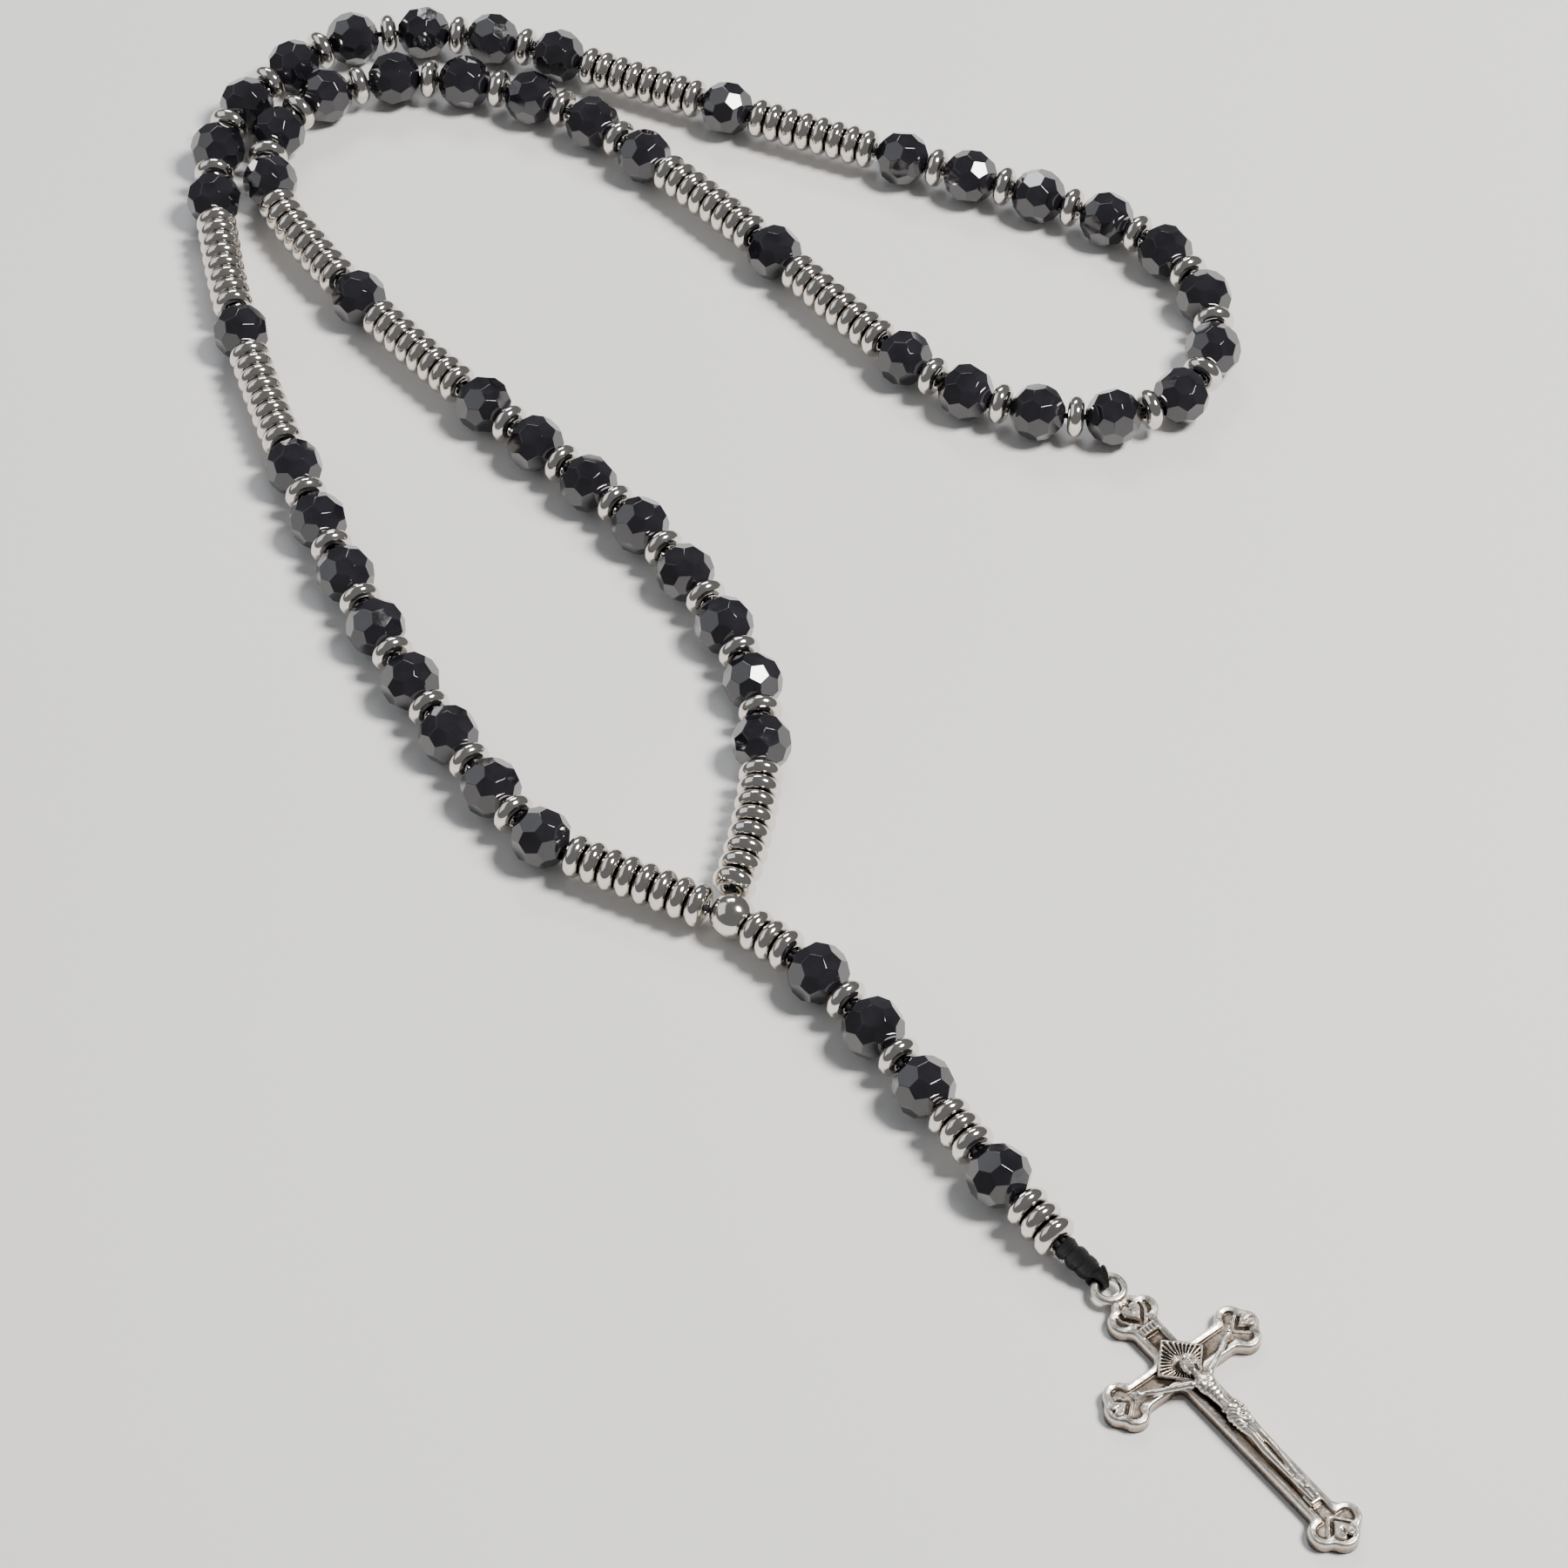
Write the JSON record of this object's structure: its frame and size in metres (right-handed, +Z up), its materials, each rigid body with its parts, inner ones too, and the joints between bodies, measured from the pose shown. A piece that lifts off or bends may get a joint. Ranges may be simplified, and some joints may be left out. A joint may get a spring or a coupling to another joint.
{
  "type": "rosary",
  "caption": "Rosary of black faceted beads and silver rings on a black cord, with a round junction bead, a short tail, a wrapped knot and a silver crucifix, lying flat.",
  "frame": {"origin": "centre of the box round the whole rosary, on the surface it lies on", "axes": "+Z up, away from the surface; +Y from the crucifix's end towards the far end of the loop"},
  "size_m": [0.1586, 0.2635, 0.0082],
  "materials": {
    "black_glass": "gloss",
    "polished_silver": "gloss",
    "antique_silver": "satin",
    "black_thread": "matte"
  },
  "bodies": {
    "junction": {"junction_bead": "polished_silver", "stringing_cord": "black_thread"},
    "outer_1": {"ring_stack_1": "polished_silver"},
    "inner_1": {"ring_stack_10": "polished_silver"},
    "outer_2": {"decade_1_beads_a": "black_glass", "decade_1_rings_a": "polished_silver"},
    "inner_2": {"decade_5_beads_b": "black_glass", "decade_5_rings_b": "polished_silver"},
    "outer_3": {"decade_1_rings_b": "polished_silver", "decade_1_beads_b": "black_glass"},
    "inner_3": {"decade_5_beads_a": "black_glass", "decade_5_rings_a": "polished_silver"},
    "outer_4": {"decade_1_beads_c": "black_glass", "ring_stack_2": "polished_silver"},
    "inner_4": {"ring_stack_9": "polished_silver"},
    "outer_5": {"ring_stack_3": "polished_silver", "decade_2_beads_a": "black_glass", "decade_2_rings_a": "polished_silver"},
    "inner_5": {"decade_4_beads_d": "black_glass", "ring_stack_8": "polished_silver"},
    "outer_6": {"decade_2_beads_b": "black_glass", "decade_2_rings_b": "polished_silver"},
    "inner_6": {"decade_4_rings_c": "polished_silver", "decade_4_beads_c": "black_glass"},
    "outer_7": {"decade_2_rings_c": "polished_silver", "decade_2_beads_c": "black_glass"},
    "inner_7": {"decade_4_rings_b": "polished_silver", "decade_4_beads_b": "black_glass"},
    "outer_8": {"ring_stack_4": "polished_silver", "ring_stack_5": "polished_silver"},
    "inner_8": {"ring_stack_7": "polished_silver", "decade_4_beads_a": "black_glass", "decade_4_rings_a": "polished_silver"},
    "outer_9": {"decade_3_beads_a": "black_glass", "decade_3_rings_a": "polished_silver"},
    "inner_9": {"decade_3_rings_d": "polished_silver", "decade_3_beads_d": "black_glass", "ring_stack_6": "polished_silver"},
    "outer_10": {"decade_3_beads_b": "black_glass", "decade_3_rings_b": "polished_silver"},
    "inner_10": {"decade_3_beads_c": "black_glass", "decade_3_rings_c": "polished_silver"},
    "divider_bead_1": {"divider_bead_1": "black_glass"},
    "divider_bead_2": {"divider_bead_2": "black_glass"},
    "divider_bead_3": {"divider_bead_3": "black_glass"},
    "divider_bead_4": {"divider_bead_4": "black_glass"},
    "tail_rings_1": {"tail_rings_1": "polished_silver"},
    "tail_bead_1": {"tail_bead_1": "black_glass"},
    "tail_rings_2": {"tail_rings_2": "polished_silver"},
    "tail_bead_2": {"tail_bead_2": "black_glass"},
    "tail_rings_3": {"tail_rings_3": "polished_silver"},
    "tail_bead_3": {"tail_bead_3": "black_glass"},
    "tail_rings_4": {"tail_rings_4": "polished_silver"},
    "tail_bead_4": {"tail_bead_4": "black_glass"},
    "tail_rings_5": {"tail_rings_5": "polished_silver"},
    "wrapped_knot": {"wrapped_knot": "black_thread"},
    "crucifix": {"crucifix_cross": "antique_silver", "crucifix_corpus": "antique_silver"}
  },
  "joints": [
    {"name": "outer_fold_1", "type": "hinge", "parent": "junction", "child": "outer_1", "pos_m": [0.0009, -0.04135, 0.00349], "axis": [0.6908, 0.723, 0.0039], "range_deg": [-15, 15], "deforming": ["stringing_cord"]},
    {"name": "inner_fold_1", "type": "hinge", "parent": "junction", "child": "inner_1", "pos_m": [0.00357, -0.03856, 0.00351], "axis": [0.6908, 0.723, 0.0039], "range_deg": [-15, 15], "deforming": ["stringing_cord"]},
    {"name": "outer_fold_2", "type": "hinge", "parent": "outer_1", "child": "outer_2", "pos_m": [-0.01768, -0.0327, 0.004], "axis": [0.8612, 0.5083, 0.0032], "range_deg": [-15, 15], "deforming": ["stringing_cord"]},
    {"name": "inner_fold_2", "type": "hinge", "parent": "inner_1", "child": "inner_2", "pos_m": [0.00734, -0.01793, 0.00409], "axis": [0.8612, 0.5083, 0.0032], "range_deg": [-15, 15], "deforming": ["stringing_cord"]},
    {"name": "outer_fold_3", "type": "hinge", "parent": "outer_2", "child": "outer_3", "pos_m": [-0.04195, -0.00041, 0.0041], "axis": [0.9671, 0.2543, 0], "range_deg": [-15, 15], "deforming": ["stringing_cord"]},
    {"name": "inner_fold_3", "type": "hinge", "parent": "inner_2", "child": "inner_3", "pos_m": [0, 0.01062, 0.0041], "axis": [0.9671, 0.2543, 0], "range_deg": [-15, 15], "deforming": ["stringing_cord"]},
    {"name": "outer_fold_4", "type": "hinge", "parent": "outer_3", "child": "outer_4", "pos_m": [-0.05741, 0.0315, 0.0041], "axis": [0.7376, 0.6753, 0], "range_deg": [-15, 15], "deforming": ["stringing_cord"]},
    {"name": "inner_fold_4", "type": "hinge", "parent": "inner_3", "child": "inner_4", "pos_m": [-0.03603, 0.05108, 0.0041], "axis": [0.7376, 0.6753, 0], "range_deg": [-15, 15], "deforming": ["stringing_cord"]},
    {"name": "outer_fold_5", "type": "hinge", "parent": "outer_4", "child": "outer_5", "pos_m": [-0.07008, 0.06591, 0.0041], "axis": [0.9157, 0.4018, 0], "range_deg": [-15, 15], "deforming": ["stringing_cord"]},
    {"name": "inner_fold_5", "type": "hinge", "parent": "inner_4", "child": "inner_5", "pos_m": [-0.05497, 0.07254, 0.0041], "axis": [0.9157, 0.4018, 0], "range_deg": [-15, 15], "deforming": ["stringing_cord"]},
    {"name": "outer_fold_6", "type": "hinge", "parent": "outer_5", "child": "outer_6", "pos_m": [-0.07605, 0.0967, 0.0041], "axis": [0.9897, 0.1431, 0], "range_deg": [-15, 15], "deforming": ["stringing_cord"]},
    {"name": "inner_fold_6", "type": "hinge", "parent": "inner_5", "child": "inner_6", "pos_m": [-0.06829, 0.09782, 0.0041], "axis": [0.9897, 0.1431, 0], "range_deg": [-15, 15], "deforming": ["stringing_cord"]},
    {"name": "outer_fold_7", "type": "hinge", "parent": "outer_6", "child": "outer_7", "pos_m": [-0.05378, 0.12742, 0.0041], "axis": [-0.0803, -0.9968, 0], "range_deg": [-15, 15], "deforming": ["stringing_cord"]},
    {"name": "inner_fold_7", "type": "hinge", "parent": "inner_6", "child": "inner_7", "pos_m": [-0.05468, 0.11625, 0.0041], "axis": [-0.0803, -0.9968, 0], "range_deg": [-15, 15], "deforming": ["stringing_cord"]},
    {"name": "outer_fold_8", "type": "hinge", "parent": "outer_7", "child": "outer_8", "pos_m": [-0.02218, 0.12143, 0.0041], "axis": [-0.116, -0.9932, 0], "range_deg": [-15, 15], "deforming": ["stringing_cord"]},
    {"name": "inner_fold_8", "type": "hinge", "parent": "inner_7", "child": "inner_8", "pos_m": [-0.02349, 0.11023, 0.0041], "axis": [-0.116, -0.9932, 0], "range_deg": [-15, 15], "deforming": ["stringing_cord"]},
    {"name": "outer_fold_9", "type": "hinge", "parent": "outer_8", "child": "outer_9", "pos_m": [0.02286, 0.10254, 0.0041], "axis": [-0.4385, -0.8987, 0], "range_deg": [-15, 15], "deforming": ["stringing_cord"]},
    {"name": "inner_fold_9", "type": "hinge", "parent": "inner_8", "child": "inner_9", "pos_m": [0.01044, 0.07709, 0.0041], "axis": [-0.4385, -0.8987, 0], "range_deg": [-15, 15], "deforming": ["stringing_cord"]},
    {"name": "outer_fold_10", "type": "hinge", "parent": "outer_9", "child": "outer_10", "pos_m": [0.05318, 0.09029, 0.0041], "axis": [-0.5073, -0.8617, 0], "range_deg": [-15, 15], "deforming": ["stringing_cord"]},
    {"name": "inner_fold_10", "type": "hinge", "parent": "inner_9", "child": "inner_10", "pos_m": [0.03195, 0.05423, 0.0041], "axis": [-0.5073, -0.8617, 0], "range_deg": [-15, 15], "deforming": ["stringing_cord"]},
    {"name": "divider_bead_1_spin", "type": "hinge", "parent": "outer_4", "child": "divider_bead_1", "pos_m": [-0.06885, 0.06197, 0.0041], "axis": [-0.3082, 0.9513, 0], "continuous": true},
    {"name": "divider_bead_2_spin", "type": "hinge", "parent": "outer_8", "child": "divider_bead_2", "pos_m": [0.00017, 0.11164, 0.0041], "axis": [0.9197, -0.3926, 0], "continuous": true},
    {"name": "divider_bead_3_spin", "type": "hinge", "parent": "inner_8", "child": "divider_bead_3", "pos_m": [0.00775, 0.08022, 0.0041], "axis": [-0.6572, 0.7537, 0], "continuous": true},
    {"name": "divider_bead_4_spin", "type": "hinge", "parent": "inner_4", "child": "divider_bead_4", "pos_m": [-0.05242, 0.0693, 0.0041], "axis": [0.6295, -0.777, 0], "continuous": true},
    {"name": "tail_rings_1_lift", "type": "hinge", "parent": "junction", "child": "tail_rings_1", "pos_m": [0.00611, -0.044, 0.00352], "axis": [-0.6283, -0.7779, 0], "range_deg": [-13, 13], "deforming": ["stringing_cord"]},
    {"name": "tail_bead_1_turn", "type": "hinge", "parent": "tail_rings_1", "child": "tail_bead_1", "pos_m": [0.01212, -0.04898, 0.00392], "axis": [0, 0, 1], "range_deg": [-15, 15], "deforming": ["stringing_cord"]},
    {"name": "tail_rings_2_lift", "type": "hinge", "parent": "tail_bead_1", "child": "tail_rings_2", "pos_m": [0.01771, -0.05485, 0.0041], "axis": [-0.7682, -0.6402, 0], "range_deg": [-15, 15], "deforming": ["stringing_cord"]},
    {"name": "tail_bead_2_turn", "type": "hinge", "parent": "tail_rings_2", "child": "tail_bead_2", "pos_m": [0.01951, -0.05702, 0.0041], "axis": [0, 0, 1], "range_deg": [-15, 15], "deforming": ["stringing_cord"]},
    {"name": "tail_rings_3_lift", "type": "hinge", "parent": "tail_bead_2", "child": "tail_rings_3", "pos_m": [0.0244, -0.0635, 0.0041], "axis": [-0.8221, -0.5694, 0], "range_deg": [-15, 15], "deforming": ["stringing_cord"]},
    {"name": "tail_bead_3_turn", "type": "hinge", "parent": "tail_rings_3", "child": "tail_bead_3", "pos_m": [0.026, -0.06583, 0.0041], "axis": [0, 0, 1], "range_deg": [-15, 15], "deforming": ["stringing_cord"]},
    {"name": "tail_rings_4_lift", "type": "hinge", "parent": "tail_bead_3", "child": "tail_rings_4", "pos_m": [0.03058, -0.07253, 0.00414], "axis": [-0.8264, -0.5631, 0], "range_deg": [-15, 15], "deforming": ["stringing_cord"]},
    {"name": "tail_bead_4_turn", "type": "hinge", "parent": "tail_rings_4", "child": "tail_bead_4", "pos_m": [0.03499, -0.07899, 0.0042], "axis": [0, 0, 1], "range_deg": [-15, 15], "deforming": ["stringing_cord"]},
    {"name": "tail_rings_5_lift", "type": "hinge", "parent": "tail_bead_4", "child": "tail_rings_5", "pos_m": [0.03986, -0.08548, 0.00391], "axis": [-0.7818, -0.6235, 0], "range_deg": [-15, 15], "deforming": ["stringing_cord"]},
    {"name": "knot_twist", "type": "hinge", "parent": "tail_rings_5", "child": "wrapped_knot", "pos_m": [0.04477, -0.09154, 0.00332], "axis": [0.6287, -0.7738, -0.0766], "range_deg": [-90, 90], "deforming": ["stringing_cord"]},
    {"name": "crucifix_swing", "type": "hinge", "parent": "wrapped_knot", "child": "crucifix", "pos_m": [0.04938, -0.09534, 0.0016], "axis": [-0.7837, -0.6211, 0], "range_deg": [-80, 80]}
  ],
  "couplings": [
    {"joint": "inner_fold_1", "follows": "outer_fold_1", "ratio": 1},
    {"joint": "inner_fold_2", "follows": "outer_fold_2", "ratio": 1},
    {"joint": "inner_fold_3", "follows": "outer_fold_3", "ratio": 1},
    {"joint": "inner_fold_4", "follows": "outer_fold_4", "ratio": 1},
    {"joint": "inner_fold_5", "follows": "outer_fold_5", "ratio": 1},
    {"joint": "inner_fold_6", "follows": "outer_fold_6", "ratio": 1},
    {"joint": "inner_fold_7", "follows": "outer_fold_7", "ratio": 1},
    {"joint": "inner_fold_8", "follows": "outer_fold_8", "ratio": 1},
    {"joint": "inner_fold_9", "follows": "outer_fold_9", "ratio": 1},
    {"joint": "inner_fold_10", "follows": "outer_fold_10", "ratio": 1}
  ]
}
